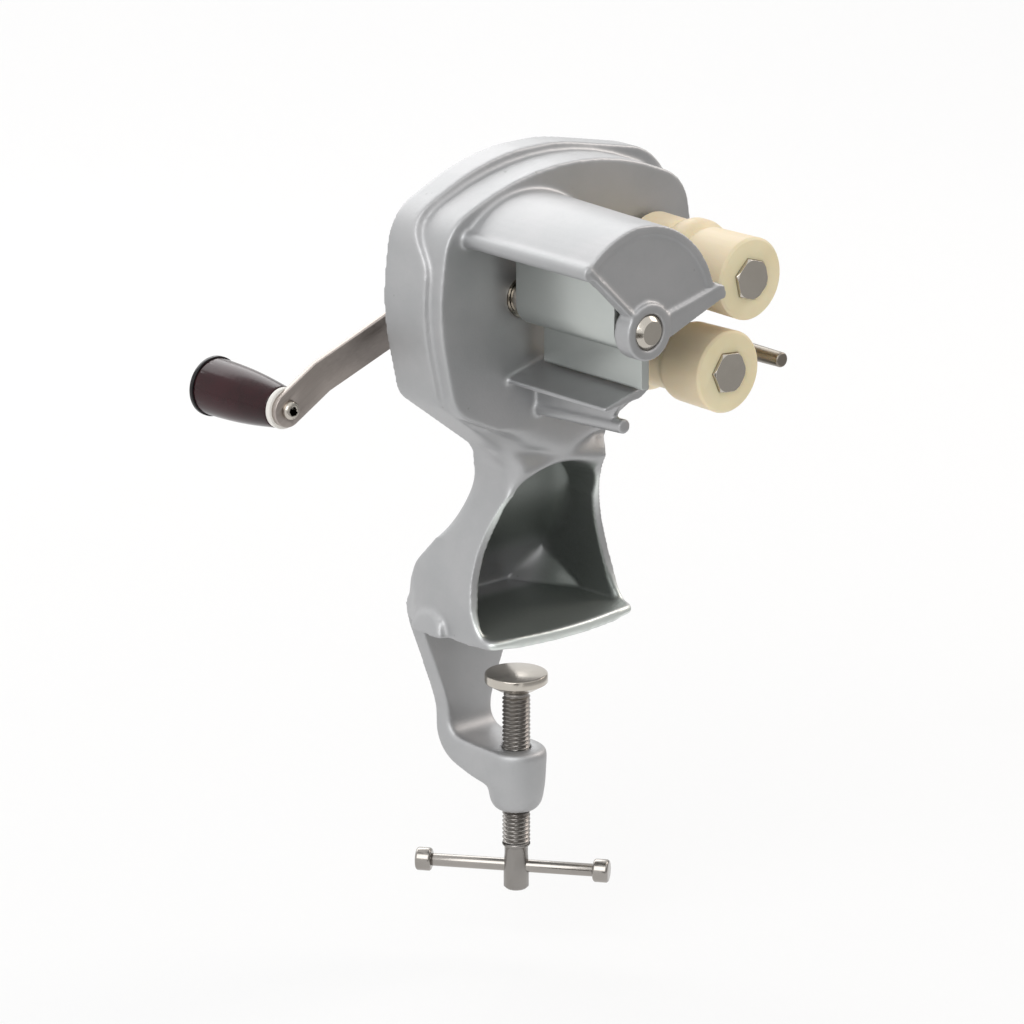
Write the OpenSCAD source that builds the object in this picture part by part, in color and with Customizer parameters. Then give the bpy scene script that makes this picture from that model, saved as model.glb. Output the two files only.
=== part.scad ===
// Hand cranked cavatelli maker with a table clamp.
// Millimetres. The origin is where the clamp screw's axis meets the face that rests on the table.
// +Z is up, the rollers and the hood point to the front (-Y), and the crank turns at the back (+Y).

/* [Gear case] */
// Width of the gear case
case_w = 119.2; // [110:1:130]
// Height of the case's top above the table
case_top = 168.3; // [163:0.5:176]
// Height of the tip of the case's front face above the table
case_bottom = 64.8; // [63:0.2:67]
// Depth of the case from its open back to its front face
case_depth = 26.5; // [25:0.5:34]
// Depth of the outer rim over the top of the case
rim_depth = 11; // [8:0.5:14]
// Depth of the outer rim down the sides of the case
side_depth = 20.5; // [16:0.5:22]
// How far the front face steps in from the rim
step_in = 2.2; // [1:0.1:3]
// Thickness of the case's front wall
case_wall = 3.4; // [2.6:0.1:4]
// Thickness of the case's side walls
side_wall = 2.6; // [2:0.1:2.8]
// Thickness of the rear cover
cover_t = 3; // [2:0.5:4]

/* [Pedestal] */
// Height of the neck under the case
neck_z = 60; // [56:1:62]
// Width of the neck
neck_w = 38.2; // [34:0.2:42]
// Width of the pedestal's foot
foot_w = 68.8; // [62:0.2:74]
// Distance from the screw axis to the front lip of the foot
foot_front = 28.5; // [26:0.5:32]
// Thickness of the foot's seat plate
seat_t = 3.8; // [3:0.2:5]
// Thickness of the pedestal's walls
ped_wall = 3.8; // [3:0.1:4.4]
// Length of the slanted fill in the pedestal's rear corners
fill_len = 31; // [24:1:34]

/* [Table clamp] */
// Distance from the screw axis to the clamp's back
throat = 24; // [22:0.5:28]
// Thickness of the clamp's back
spine_t = 6.4; // [5.4:0.2:8]
// Width of the clamp's back at the foot
spine_w = 49; // [44:1:54]
// Width of the clamp's lower jaw
jaw_w = 21.6; // [21:0.2:26]
// Height of the clamp's mouth
mouth_h = 47; // [43:1:52]
// Thickness of the lower jaw
jaw_t = 13.5; // [12:0.5:16]
// Radius of the screw boss at its lower end
boss_r = 9.4; // [8.6:0.1:10.4]
// Length of the screw boss below the jaw
boss_drop = 9.2; // [8:0.2:12]
// Diameter of the clamp screw
screw_d = 9.8; // [8.8:0.2:10.6]
// Table thickness that the clamp is set to
table_t = 20; // [15:1:30]
// Distance from the pad's face to the end of the screw
screw_len = 79.2; // [77:0.2:86]
// Diameter of the swivel pad
pad_d = 22; // [18:1:26]
// Thickness of the swivel pad
pad_t = 6; // [5.6:0.2:7]
// Diameter of the tommy bar
bar_d = 4.5; // [3.5:0.1:5]
// Length of the tommy bar over its knobs
bar_len = 68.5; // [60:0.5:80]
// Diameter of the knobs on the tommy bar
knob_d = 8.2; // [7:0.2:9]
// Length of each knob
knob_len = 5.5; // [4:0.5:7]
// How far the bar has slid through the screw
bar_slid = 1.3; // [0:0.1:6]
// Direction in which the bar points, seen from above
bar_angle = -53; // [-80:1:-30]

/* [Rollers] */
// Place of the upper roller's axis across the case
upper_x = 36.5; // [35:0.1:37.5]
// Height of the upper roller's axis
upper_z = 129.2; // [128:0.1:131]
// Distance between the two rollers' axes
roller_gap = 32; // [31:0.5:33]
// Lean of the line through the rollers' axes
roller_lean = 18; // [16:1:20]
// Radius of the rollers' barrels
roller_r = 14.15; // [13.2:0.05:14.4]
// Length of the rollers
roller_len = 48.2; // [44:0.2:52]
// Distance from the case's front face to the rollers
roller_back = 1.8; // [1.4:0.1:2.4]
// Radius of the ring round the middle of the upper roller
ring_r = 15.5; // [14.8:0.1:15.9]
// Radius of the waist of the lower roller
waist_r = 11.3; // [10.6:0.1:11.8]
// Width of the ring
ring_w = 8; // [6:0.5:10]
// Width of the waist
waist_w = 10; // [8:0.5:13]
// Size of the rollers' hexagonal shafts across their flats
hex_af = 13; // [11:0.2:14]
// Diameter of the roller shafts inside the case
journal_d = 10; // [9:0.5:11]

/* [Cutter and hood] */
// Place of the cutter's axis across the case
cutter_x = -20.7; // [-21.5:0.1:-20]
// Height of the cutter's axis
cutter_z = 123.6; // [122.5:0.1:125]
// Radius of the circle that the blades' tips run on
blade_r = 24; // [22.5:0.1:24.2]
// Thickness of the blades
blade_t = 3.4; // [2.8:0.1:4]
// Radius of the cutter's hub
hub_r = 8; // [7.4:0.1:8.6]
// Length of the cutter
cutter_len = 48; // [44:0.5:50]
// Distance from the case's front face to the cutter
cutter_back = 5; // [4:0.5:6]
// Outer radius of the hood
hood_r = 36.3; // [34:0.1:37.5]
// Thickness of the hood
hood_t = 3.2; // [2.6:0.1:4]
// Distance from the case's front face to the hood's end
hood_len = 60.5; // [59.5:0.5:64]
// Diameter of the bead along the hood's left edge
bead_d = 5.6; // [5:0.1:7]
// Radius of the bearing boss at the hood's end
hood_boss_r = 9.7; // [9:0.1:11]
// Diameter of the cutter's shaft at the hood's end
nose_d = 12; // [11:0.2:13]
// Diameter of the cutter's shaft through the case
spindle_d = 10; // [9:0.2:10.4]

/* [Forming board] */
// Length of the forming board
board_len = 48.5; // [44:0.5:50]
// Thickness of the forming board
board_t = 3.2; // [2.6:0.1:4]
// Thickness of the web under the board
web_t = 3; // [2.4:0.1:4]
// Diameter of the bead along the web's lower edge
web_bead_d = 5; // [4:0.1:6]
// Length of the web
web_len = 42.5; // [38:0.5:46]
// Diameter of the guide rod's tip
rod_d = 5.2; // [4.4:0.1:6]
// Distance from the case's right side to the guide rod's axis
rod_in = 7.8; // [7:0.1:10]
// Height of the guide rod
rod_z = 98.2; // [97.6:0.1:99]

/* [Gears] */
// Teeth of the pinion on the cutter's shaft
pinion_teeth = 16; // [16:1:16]
// Teeth of the idler gear
idler_teeth = 40; // [40:1:40]
// Teeth of each roller gear
roller_teeth = 32; // [32:1:32]
// Width of the gears' teeth
gear_w = 7; // [5:0.5:8]
// Diameter of the idler's pin
idler_pin_d = 8; // [7:0.5:9]

/* [Crank] */
// Distance from the crank's axis to the grip's axis
crank_r = 74; // [70:0.5:76]
// Direction in which the crank points at rest
crank_angle = 210; // [200:1:220]
// Width of the crank arm
arm_w = 12.2; // [11.4:0.2:14]
// Thickness of the crank arm
arm_t = 2.2; // [1.8:0.1:3]
// How far the arm steps away from the case
arm_offset = 13.2; // [12:0.2:16]
// Diameter of the grip at its small end
grip_small_d = 14.2; // [13:0.2:15.4]
// Diameter of the grip at its large end
grip_large_d = 19.8; // [19:0.2:22]
// Length of the grip
grip_len = 34.4; // [30:0.2:40]
// Thickness of the washer between the arm and the grip
washer_t = 1.9; // [1.4:0.1:3]
// Diameter of the bolt through the grip
grip_bolt_d = 5; // [4:0.2:6]

/* [Hidden] */

$fn = 64;
// Overrun of cuts past the faces they open
over = 1;
// Radial clearance of a running fit
run_gap = 0.05;
// Clearance between faces that slide or turn past each other
face_gap = 0.3;
// Backlash of the gears at the pitch circle
backlash = 0.16;
// Thickness of a bush's wall
bush_wall = 2;
// Thickness of a bush's flange
flange_t = 1.2;
// How far a flange stands out from its bush
flange_w = 1.6;
// Diameter of the cover screws
cover_screw_d = 4;

// Planes of the case, from back to front
face_y = -case_depth;
inner_y = face_y + case_wall;
cover_y = -cover_t;

// Axes seen from the front, as [x, z]
cutter_at = [cutter_x, cutter_z];
upper_at = [upper_x, upper_z];
lower_at = upper_at - roller_gap * [sin(roller_lean), cos(roller_lean)];
rod_at = [case_w / 2 - rod_in, rod_z];

// Outline helpers
function unit(v) = v / norm(v);
function turned(p, a) = [p.x * cos(a) - p.y * sin(a), p.x * sin(a) + p.y * cos(a)];
function arc(at, r, from, to, steps = 12) =
    [for (i = [0:steps]) let(a = from + (to - from) * i / steps) at + r * [cos(a), sin(a)]];
// The arc that rounds corner b of the line a-b-c with radius r
function corner(a, b, c, r, steps) =
    let(u = unit(a - b), v = unit(c - b), half = acos(u * v) / 2,
        mid = b + unit(u + v) * r / sin(half),
        p = b + u * r / tan(half) - mid, q = b + v * r / tan(half) - mid,
        turn = atan2(p.x * q.y - p.y * q.x, p * q))
    [for (i = [0:steps]) mid + turned(p, turn * i / steps)];
// A closed outline from corners given as [x, y, radius]
function rounded(pts, steps = 6) =
    [for (i = [0:len(pts) - 1])
        let(n = len(pts), a = pts[(i + n - 1) % n], b = pts[i], c = pts[(i + 1) % n])
        each (b[2] > 0
            ? corner([a.x, a.y], [b.x, b.y], [c.x, c.y], b[2], steps)
            : [[b.x, b.y]])];
function mirrored(pts) = [for (i = [len(pts) - 1:-1:0]) [-pts[i].x, pts[i].y, pts[i][2]]];

// Extrudes an outline drawn in X and Z from the plane y = from forwards to y = to
module front_slab(from, to) {
    translate([0, from, 0]) rotate([90, 0, 0]) linear_extrude(from - to) children();
}
// Extrudes an outline drawn in Y and Z to both sides of the middle plane
module side_slab(width) {
    translate([-width / 2, 0, 0]) rotate([90, 0, 90]) linear_extrude(width) children();
}
// A round bar along Y from the plane y = from forwards to y = to
module bar_y(at, from, to, r) {
    translate([at[0], from, at[1]]) rotate([90, 0, 0]) cylinder(h = from - to, r = r);
}
// Turns a profile drawn as [radius, distance to the front] about a line along Y
module turned_y(at, from) {
    translate([at[0], from, at[1]]) rotate([90, 0, 0]) rotate_extrude() children();
}

// Gear case outline: its corners as shares of the half width and the height, with radii
// as shares of the half width. The rim runs down into the neck, the face ends in a tip.
shoulder_share = [0.943, 0.8585, 0.30];
right_shoulder_share = [1.032, 0.9014, 0.37];
rim_apex_share = [-0.193, 1.052, 1.527];
flank_share = [1.02, 0.554, 1.34];
hip_share = [0.8977, 0.248, 0.168];
face_hip_share = [0.8868, 0.208, 0.245];
apex_share = [0, 1.10, 1.80];
tip_share = [0, -0.0395, 0.245];
neck_fillet_share = 0.2;
// Half width of the case over its height, as drawn; the corners are rounded at this proportion
drawn_share = 0.576;

// The outline through these corners, rounded as drawn and then stretched to the case's size
function case_outline(corners, inset) =
    let(hw = case_w / 2 - inset, low = case_bottom + inset, high = case_top - inset,
        drawn = rounded([for (c = corners) [c[0] * drawn_share, c[1], c[2] * drawn_share]], 9))
    [for (p = drawn) [p.x / drawn_share * hw, low + p.y * (high - low)]];
// The front view of the case, closed by a tip at its foot
function case_face(inset) =
    let(right = [shoulder_share, flank_share, face_hip_share])
    case_outline(concat([apex_share], right, [tip_share], mirrored(right)), inset);
// The front view of the case with the neck that carries it; its right shoulder stands higher
function case_and_neck() =
    let(neck_share = neck_w / case_w, neck_end = (neck_z - over - case_bottom) / (case_top - case_bottom),
        side = [flank_share, hip_share, [neck_share, 0, neck_fillet_share], [neck_share, neck_end, 0]])
    case_outline(concat([rim_apex_share, right_shoulder_share], side,
        mirrored(concat([shoulder_share], side))), 0);
// How far forward the rim reaches at the shares of the case's height where that changes
rim_reach_share = [0.68, 0.86];
module rim_reach() {
    h = case_top - case_bottom;
    side_slab(2 * case_w)
        polygon(concat([[over, 0], [-side_depth, 0]],
            [for (t = [0:0.125:1])
                [-side_depth + (side_depth - rim_depth) * (1 - cos(180 * t)) / 2,
                    case_bottom + h * (rim_reach_share[0] * (1 - t) + rim_reach_share[1] * t)]],
            [[-rim_depth, case_top + over], [over, case_top + over]]));
}

// Pedestal: half width, front edge and back at height z
ped_flare = [1.95, 1.3];
waist_z_share = 0.43;
scallop_share = 0.66;
rim_front_share = 0.425;
toe_share = 0.15;
toe_z_share = 0.2;
back_end_share = 0.92;
back_flare = 0.9;
neck_back = 1.2;
function ped_half(z) = neck_w / 2
    + (foot_w - neck_w) / 2 * pow(1 - pow(min(max(z, 0) / neck_z, 1), ped_flare[0]), ped_flare[1]);
function ped_front(z) = -foot_front * rim_front_share
    - neck_z * scallop_share * pow(z / neck_z - waist_z_share, 2)
    - foot_front * toe_share * pow(max(1 - z / neck_z / toe_z_share, 0), 2);
function ped_back(z) =
    let(t = min(pow(max(z / neck_z / back_end_share, 0), back_flare), 1))
    neck_back + (throat + spine_t - neck_back) * (1 + cos(180 * t)) / 2;
// The heights at which the pedestal's curves have a point
function ped_levels(from, to, steps = 14) = [for (i = [0:steps]) from + (to - from) * i / steps];

// Foot outline seen from above: its corners as shares of the half width and of the depth
function foot_outline() =
    let(hw = foot_w / 2, back = throat + spine_t, sw = spine_w / 2)
    rounded([[0, -foot_front - step_in / 2, 3 * hw], [hw, -foot_front * 0.86, hw * 0.15],
        [hw * 0.95, 0, 2 * hw], [hw * 0.92, back * 0.56, hw * 0.25], [sw, back, hw * 0.2],
        [-sw, back, hw * 0.2], [-hw * 0.92, back * 0.56, hw * 0.25], [-hw * 0.95, 0, 2 * hw],
        [-hw, -foot_front * 0.86, hw * 0.15]]);

module pedestal() {
    top = case_bottom + over;
    zs = ped_levels(0, neck_z);
    intersection() {
        front_slab(throat + spine_t + over, -foot_front - over)
            polygon(concat([for (z = zs) [ped_half(z), z]], [[neck_w / 2, top], [-neck_w / 2, top]],
                [for (i = [len(zs) - 1:-1:0]) [-ped_half(zs[i]), zs[i]]]));
        side_slab(foot_w + over)
            polygon(concat([for (z = zs) [ped_back(z), z]], [[neck_back, top], [-side_depth - over, top],
                [ped_front(neck_z) + over, (neck_z + top) / 2]],
                [for (i = [len(zs) - 1:-1:0]) [ped_front(zs[i]), zs[i]]]));
        translate([0, 0, -over]) linear_extrude(top + 2 * over) polygon(foot_outline());
    }
    linear_extrude(seat_t) polygon(foot_outline());
}

// The open front of the pedestal, with an arch at its top and slanted fills in its rear corners
arch_top = neck_z + 0.7 * over;
arch_from_share = 0.72;
module pedestal_hollow() {
    arch_z = neck_z * arch_from_share;
    zs = ped_levels(seat_t, arch_z);
    arch_hw = ped_half(arch_z) - ped_wall;
    in_hw = foot_w / 2 - ped_wall;
    back = throat + spine_t - ped_wall;
    difference() {
        intersection() {
            front_slab(throat + spine_t, -foot_front - over)
                polygon(concat([for (z = zs) [ped_half(z) - ped_wall, z]],
                    [for (a = [10:10:170]) [arch_hw * cos(a), arch_z + (arch_top - arch_z) * sin(a)]],
                    [for (i = [len(zs) - 1:-1:0]) [-ped_half(zs[i]) + ped_wall, zs[i]]]));
            side_slab(foot_w)
                polygon(concat([[-foot_front - over, seat_t]],
                    [for (z = ped_levels(seat_t, neck_z)) [ped_back(z) - ped_wall, z]],
                    [[neck_back - ped_wall, case_bottom], [-foot_front - over, case_bottom]]));
            linear_extrude(case_bottom)
                polygon(rounded([[in_hw, -foot_front - over, 0], [in_hw, back * 0.55, ped_wall],
                    [in_hw - ped_wall, back, ped_wall], [ped_wall - in_hw, back, ped_wall],
                    [-in_hw, back * 0.55, ped_wall], [-in_hw, -foot_front - over, 0]]));
        }
        for (side = [0, 1]) mirror([side, 0, 0]) corner_fill(in_hw, back);
    }
}
// Fill between the floor, the side wall and the back wall, which leans towards the corner
fill_lean = 26;
module corner_fill(in_hw, back) {
    wide = fill_len * 0.4;
    turn = asin(wide / fill_len);
    translate([in_hw - wide, back, seat_t - over]) rotate([0, 0, turn])
        translate([0, over, 0]) rotate([90, 0, 0]) linear_extrude(fill_len + 2 * over)
            polygon([[0, 0], [fill_len, 0], [fill_len, neck_z / 2], [neck_z / 2 * tan(fill_lean), neck_z / 2]]);
}

// Low pads at the sides of the foot, as shares of the depth to the clamp's back
pad_share = [[-0.05, 0], [0.02, 0.2], [0.3, 0.34], [0.62, 0.38], [0.68, 0.3], [0.7, 0]];
pad_in = 1;
pad_out = 2.6;
pad_turn = 4.6;
pad_x_share = 0.472;
module foot_pads() {
    high = throat * 0.4;
    for (side = [0, 1]) mirror([side, 0, 0])
        translate([foot_w * pad_x_share, 0, 0]) rotate([0, 0, pad_turn])
            intersection() {
                side_slab(4 * pad_out) polygon([for (p = pad_share) throat * p]);
                front_slab(throat, -throat)
                    polygon([[-pad_in, 0], [pad_out, 0], [pad_out * 0.8, high * 0.25], [0, high],
                        [-pad_in, high]]);
            }
}

// C-shaped frame of the clamp, seen from the side, with the radii of its bends
jaw_low = -mouth_h - jaw_t;
bend_out_r = 14;
bend_in_r = 6;
jaw_sweep_r = 40;
spine_sweep_r = 30;
module clamp_frame() {
    back = throat + spine_t;
    taper = spine_w / 2;
    intersection() {
        side_slab(spine_w)
            polygon(rounded([[throat, seat_t, 0], [back, seat_t, 0],
                [back + over, jaw_low + spine_t, bend_out_r], [boss_r, jaw_low, jaw_sweep_r],
                [0, jaw_low, 0], [0, -mouth_h, 0],
                [throat / 2, -mouth_h, bend_out_r], [throat, -mouth_h + over, bend_in_r]]));
        translate([0, 0, jaw_low - jaw_w]) linear_extrude(mouth_h * 2 + jaw_w) {
            translate([-jaw_w / 2, -over]) square([jaw_w, throat]);
            translate([-spine_w / 2, throat * 0.6]) square([spine_w, throat]);
        }
        front_slab(back + 2 * over, -jaw_w)
            polygon(rounded([[-taper, throat, 0], [-taper, 0, jaw_sweep_r],
                [-jaw_w / 2, -mouth_h * 0.72, spine_sweep_r], [-jaw_w / 2, jaw_low - 2 * over, 0],
                [jaw_w / 2, jaw_low - 2 * over, 0], [jaw_w / 2, -mouth_h * 0.72, spine_sweep_r],
                [taper, 0, jaw_sweep_r], [taper, throat, 0]]));
    }
    // Boss for the screw
    round_r = boss_r * 0.45;
    low = jaw_low - boss_drop;
    rotate_extrude()
        polygon(concat([[0, -mouth_h], [jaw_w / 2 - over, -mouth_h], [jaw_w / 2, -mouth_h - over],
            [jaw_w / 2, -mouth_h - 2 * over], [boss_r + over * 0.8, jaw_low]],
            arc([boss_r - round_r, low + round_r], round_r, 0, -90, 8), [[0, low]]));
}

// Hood over the cutter, cast on the case's front
hood_end_y = face_y - hood_len;
hood_from = 11;
hood_to = 136.3;
// Direction of each rib on the end plate, and how far above the axis it runs
ribs = [[13.8, 1.5], [136.3, 0]];
// Broad lower edge of the end plate, as shares of the hood's radius from the cutter's axis
lower_edge_shares = [[0.138, -0.163], [0.934, 0.142], [0.93, 0.216], [0.2, 0.042]];
end_plate_t = 4;
end_recess = 0.5;
rib_out = 0.7;
end_rib_w = 2;
hood_boss_len = 7.2;
hood_boss_out = 1.4;
module sector(r_in, r_out, from, to) {
    polygon(concat([for (p = arc(cutter_at, r_out, from, to, 28)) p],
        [for (p = arc(cutter_at, r_in, to, from, 28)) p]));
}
module hood() {
    bead_at = cutter_at + (hood_r - hood_t / 2) * [cos(hood_to), sin(hood_to)];
    front_slab(face_y + over, hood_end_y) sector(hood_r - hood_t, hood_r, hood_from, hood_to);
    bar_y(bead_at, face_y + over, hood_end_y, bead_d / 2);
    // End plate, a little inside the hood's end, with ribs and a lower edge that stand proud of it
    plate_y = hood_end_y + end_recess;
    rib_y = hood_end_y - rib_out;
    front_slab(plate_y + end_plate_t, plate_y) sector(nose_d / 2 + over, hood_r - over, hood_from, hood_to);
    front_slab(plate_y + end_plate_t, hood_end_y - rib_out / 2)
        polygon([for (share = lower_edge_shares) cutter_at + hood_r * share]);
    for (r = ribs)
        translate([cutter_at[0], plate_y + end_plate_t, cutter_at[1]]) rotate([0, -r[0], 0])
            translate([nose_d / 2 + over, rib_y - plate_y - end_plate_t, r[1] - end_rib_w / 2])
                cube([hood_r - hood_t * 0.1 - nose_d / 2 - over, plate_y + end_plate_t - rib_y, end_rib_w]);
    bar_y(cutter_at + (hood_r - hood_t / 2) * [cos(hood_from), sin(hood_from)],
        face_y + over, hood_end_y, hood_t * 0.57);
    // Bearing boss of the cutter's shaft
    bar_y(cutter_at, hood_end_y - hood_boss_out + hood_boss_len, hood_end_y - hood_boss_out, hood_boss_r);
}

// Forming board under the cutter, with a web and a bead below it, cast on the case's front.
// Places are seen from the cutter's axis, as shares of the blades' radius.
board_lip_share = [-0.322, -1.14];
board_heel_share = [0.36, -0.968];
board_end_share = [0.53, -0.94];
web_x_share = 0.23;
web_low_share = -1.567;
web_rise = 3.2;
module forming_board() {
    lip = cutter_at + blade_r * board_lip_share;
    heel = cutter_at + blade_r * board_heel_share;
    end = cutter_at + blade_r * board_end_share;
    front_slab(face_y + over, face_y - board_len)
        polygon([lip, heel, end, end - [0, board_t * 0.5], heel - [0, board_t * 1.1],
            lip - [0, board_t * 0.5]]);
    web_x = cutter_x + blade_r * web_x_share;
    web_z = cutter_z + blade_r * web_low_share;
    web_back_z = web_z - web_len * tan(web_rise);
    translate([web_x + web_t / 2, 0, 0]) side_slab(web_t)
        polygon([[face_y + over, web_back_z], [face_y - web_len + web_bead_d, web_z],
            [face_y - web_len + web_bead_d, web_z + web_bead_d / 2],
            [face_y - web_len, heel[1] - board_t * 1.8], [face_y - board_len + over, heel[1] - board_t],
            [face_y - board_len + over, heel[1] - board_t / 2],
            [face_y + over, heel[1] - board_t / 2]]);
    translate([web_x + web_t / 2, face_y - web_len, web_z]) rotate([-90 - web_rise, 0, 0])
        cylinder(h = web_len + over, r = web_bead_d / 2);
}

// Shafts that run through the case's front wall
front_holes = [
    [cutter_at, spindle_d / 2 + run_gap + bush_wall],
    [upper_at, journal_d / 2 + run_gap + bush_wall],
    [lower_at, journal_d / 2 + run_gap + bush_wall]
];
wall_boss_w = 2.4;
bush_len = case_wall + 2;

// Gears lie in one plane behind the front wall's bosses
gear_front_y = inner_y + bush_len - case_wall + flange_t + face_gap;
gear_back_y = gear_front_y + gear_w;
// The two rollers' equal gears mesh with each other, which sets the module
gear_m = roller_gap / roller_teeth;
pinion_pr = gear_m * pinion_teeth / 2;
idler_pr = gear_m * idler_teeth / 2;
roller_pr = gear_m * roller_teeth / 2;
// The idler meshes with the pinion and the upper roller's gear, above the line between them
idler_at = let(ab = upper_at - cutter_at, d = norm(ab), r1 = pinion_pr + idler_pr, r2 = roller_pr + idler_pr,
        x = (r1 * r1 - r2 * r2 + d * d) / (2 * d), h = sqrt(r1 * r1 - x * x))
    cutter_at + x * unit(ab) + h * turned(unit(ab), 90);

// Cover screws: places as shares of the case's half width and height
screw_shares = [[0.765, 0.813], [0.84, 0.40], [0.40, 0.90], [0.25, 0.137]];
screw_post_r = 4.2;
function cover_screw_places() =
    [for (s = screw_shares, side = [-1, 1])
        [side * s[0] * case_w / 2, case_bottom + s[1] * (case_top - case_bottom)]];

module body_casting() {
    color("silver")
    difference() {
        union() {
            // Rim of the case, and the neck under it
            intersection() {
                front_slab(0, -side_depth) polygon(case_and_neck());
                rim_reach();
            }
            // Front part of the case
            front_slab(over - rim_depth, face_y) polygon(case_face(step_in));
            difference() {
                pedestal();
                pedestal_hollow();
            }
            foot_pads();
            clamp_frame();
            hood();
            forming_board();
            bar_y(rod_at, inner_y, face_y - over, rod_d);
        }
        // Hollow of the case, and the seat of the rear cover
        difference() {
            front_slab(over, inner_y) polygon(case_face(step_in + side_wall));
            for (p = cover_screw_places()) bar_y(p, cover_y, inner_y - over, screw_post_r);
            for (h = front_holes)
                bar_y(h[0], inner_y + bush_len - case_wall, inner_y - over, h[1] + wall_boss_w);
            bar_y(idler_at, gear_front_y - face_gap, inner_y - over, idler_pin_d / 2 + wall_boss_w);
        }
        front_slab(over, cover_y) polygon(case_face(step_in + side_wall / 2));
        for (p = cover_screw_places()) bar_y(p, over, cover_y - cover_screw_d * 2.5, cover_screw_d / 2);
        // Seats of the bushes, of the idler's pin and of the guide rod
        for (h = front_holes) bar_y(h[0], over, face_y - over, h[1]);
        bar_y(idler_at, over, inner_y - case_wall * 0.4, idler_pin_d / 2);
        bar_y(rod_at, inner_y - over * 0.4, face_y - 2 * over, rod_d * 0.66);
        // Bearing of the cutter's shaft in the hood
        bar_y(cutter_at, hood_end_y + end_plate_t * 2, hood_end_y - hood_boss_out - over, nose_d / 2 + run_gap);
        // Thread of the clamp screw
        translate([0, 0, jaw_low - boss_drop - over])
            cylinder(h = boss_drop + jaw_t + 2 * over, r = screw_d / 2 + 2 * run_gap);
    }
}

// Rear cover
cover_boss_len = 3.6;
cover_boss_out = 5.4;
cover_boss_w = 3;
cover_edge_gap = 0.15;
module rear_cover() {
    bearings = [upper_at, lower_at];
    boss_y = cover_y - cover_boss_len;
    color("gainsboro")
    difference() {
        union() {
            front_slab(0, cover_y) polygon(case_face(step_in + side_wall / 2 + cover_edge_gap));
            for (at = bearings) bar_y(at, cover_y, boss_y, journal_d / 2 + bush_wall + cover_boss_w);
            bar_y(idler_at, cover_y, boss_y, idler_pin_d / 2 + cover_boss_w);
            bar_y(cutter_at, cover_boss_out, boss_y, spindle_d / 2 + bush_wall + cover_boss_w);
        }
        for (at = bearings)
            bar_y(at, -cover_t / 2, boss_y - over, journal_d / 2 + run_gap + bush_wall);
        bar_y(idler_at, -cover_t / 2, boss_y - over, idler_pin_d / 2);
        bar_y(cutter_at, cover_boss_out + over, boss_y - over, spindle_d / 2 + run_gap + bush_wall);
        for (p = cover_screw_places()) bar_y(p, over, cover_y - over, cover_screw_d / 2);
    }
}

// Round head screws that hold the cover
screw_head_r = cover_screw_d * 0.95;
screw_head_h = cover_screw_d * 0.6;
module cover_screws() {
    color("dimgray")
    for (p = cover_screw_places())
        turned_y(p, screw_head_h)
            polygon(concat([[0, 0]], arc([screw_head_r - screw_head_h * 0.8, screw_head_h * 0.8],
                    screw_head_h * 0.8, -90, 0, 5),
                [[screw_head_r, screw_head_h], [cover_screw_d / 2, screw_head_h],
                [cover_screw_d / 2, screw_head_h - cover_y + cover_screw_d * 2.2],
                [0, screw_head_h - cover_y + cover_screw_d * 2.5]]));
}

// Flanged bushes, pressed into the front wall from inside the case
module front_bush(at, bore_r) {
    wall_r = bore_r + run_gap + bush_wall;
    back = inner_y + bush_len - case_wall;
    turned_y(at, back + flange_t)
        polygon([[bore_r + run_gap, 0], [wall_r + flange_w, 0], [wall_r + flange_w, flange_t],
            [wall_r, flange_t], [wall_r, flange_t + back - face_y],
            [bore_r + run_gap, flange_t + back - face_y]]);
}
module cutter_bush() {
    color("peru") front_bush(cutter_at, spindle_d / 2);
}
module upper_bush() {
    color("peru") front_bush(upper_at, journal_d / 2);
}
module lower_bush() {
    color("peru") front_bush(lower_at, journal_d / 2);
}

// Plain bushes in the rear cover
module cover_bushes() {
    color("peru") {
        for (at = [upper_at, lower_at])
            turned_y(at, -cover_t / 2)
                polygon([[journal_d / 2 + run_gap, 0], [journal_d / 2 + run_gap + bush_wall, 0],
                    [journal_d / 2 + run_gap + bush_wall, cover_t / 2 + cover_boss_len],
                    [journal_d / 2 + run_gap, cover_t / 2 + cover_boss_len]]);
        turned_y(cutter_at, cover_boss_out)
            polygon([[spindle_d / 2 + run_gap, 0], [spindle_d / 2 + run_gap + bush_wall, 0],
                [spindle_d / 2 + run_gap + bush_wall, cover_t + cover_boss_len + cover_boss_out],
                [spindle_d / 2 + run_gap, cover_t + cover_boss_len + cover_boss_out]]);
    }
}

// Tapered rod that guides the dough to the rollers
module guide_rod() {
    root_r = rod_d * 0.66;
    tip_r = rod_d / 2;
    length = roller_back + roller_len;
    in_wall = case_wall - over * 0.4;
    color("gray")
    turned_y(rod_at, inner_y - over * 0.4)
        polygon(concat([[0, 0], [root_r, 0], [root_r, in_wall + 2 * over]],
            arc([tip_r - tip_r * 0.3, in_wall + length - tip_r * 0.3], tip_r * 0.3, 0, 90, 5),
            [[0, in_wall + length]]));
}

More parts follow.
